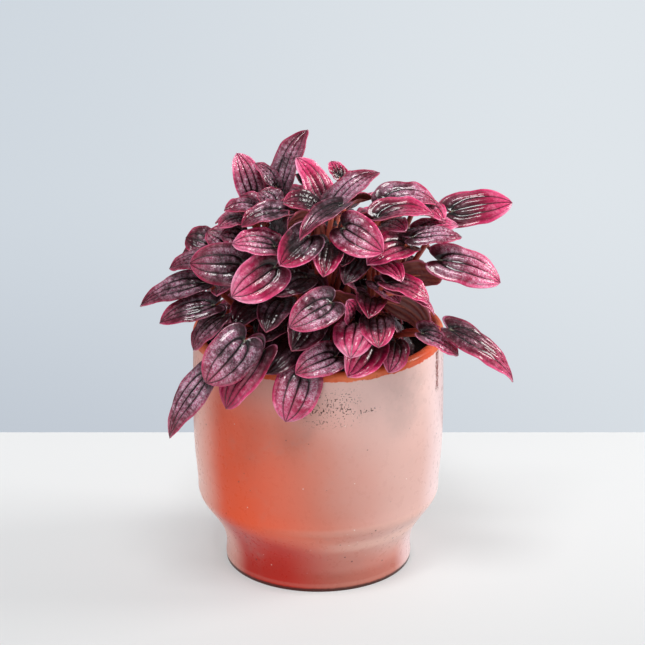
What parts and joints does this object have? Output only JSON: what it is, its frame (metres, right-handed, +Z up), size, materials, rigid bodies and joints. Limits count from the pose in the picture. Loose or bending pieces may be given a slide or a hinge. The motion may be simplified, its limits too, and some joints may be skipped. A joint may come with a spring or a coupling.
{
  "type": "potted peperomia",
  "caption": "Potted peperomia: ribbed, heart-shaped leaves on red stalks in crowns, standing in soil in a round glazed pot with a narrow foot.",
  "frame": {"origin": "middle of the pot's foot, on the surface that it stands on", "axes": "+Z up along the pot's axis; -Y towards the side that the fullest leaves look to; +X to the right seen from there"},
  "size_m": [0.1907, 0.166, 0.2342],
  "materials": {
    "pot_glaze": "glossy pink glaze with a terracotta-orange rim and small dark specks",
    "soil": "damp crumbly potting soil",
    "leaves": "satin, puckered between dark sunken veins, with pink edges",
    "stalks": "satin, fleshy"
  },
  "bodies": {
    "root": {"pot": "pot_glaze", "soil": "soil", "crown_middle": "leaves", "crown_front": "leaves", "crown_front_right": "leaves", "crown_back_right": "leaves", "crown_back": "leaves", "crown_back_left": "leaves", "crown_front_left": "leaves"}
  },
  "joints": []
}
